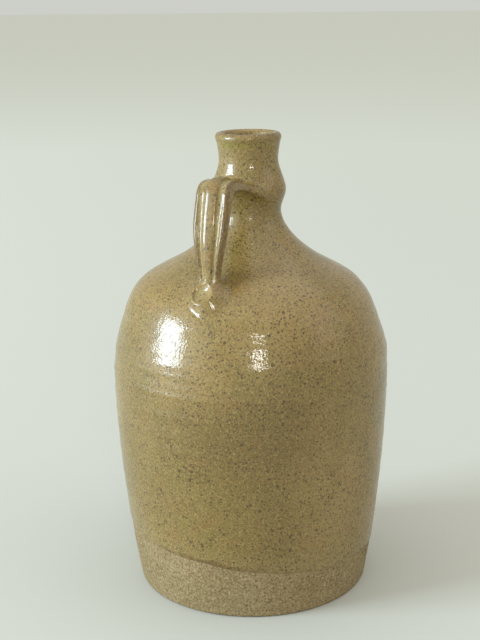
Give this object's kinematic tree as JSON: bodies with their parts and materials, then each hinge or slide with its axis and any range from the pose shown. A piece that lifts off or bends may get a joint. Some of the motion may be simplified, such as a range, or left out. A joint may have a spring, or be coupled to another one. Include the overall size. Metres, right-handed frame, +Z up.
{
  "type": "stoneware flagon",
  "caption": "Hand-thrown stoneware bottle with rounded shoulders, a ringed narrow neck with flared lip, a grooved strap handle and speckled olive glaze over a bare foot.",
  "frame": {"origin": "centre of the foot, on the surface the bottle stands on", "axes": "+Z up along the bottle's axis, +X towards the handle, +Y completing the right-handed frame"},
  "size_m": [0.1808, 0.1806, 0.3],
  "materials": {
    "stoneware": "matt bare fired clay with sand, grog and iron specks",
    "dip_glaze": "satin speckled olive-tan glaze, orange-peel surface, dark iron specks and rusty blotches",
    "handle_glaze": "glossy, iron-brown where thin on the ribs and pale olive where pooled in the grooves",
    "liner_glaze": "glossy olive-brown liner glaze"
  },
  "bodies": {
    "root": {"lower_body": "stoneware", "upper_body": "stoneware", "neck": "stoneware", "handle_strap": "stoneware", "handle_pad": "stoneware", "body_glaze": "dip_glaze", "strap_glaze": "handle_glaze", "pad_glaze": "handle_glaze", "liner_glaze": "liner_glaze"}
  },
  "joints": []
}
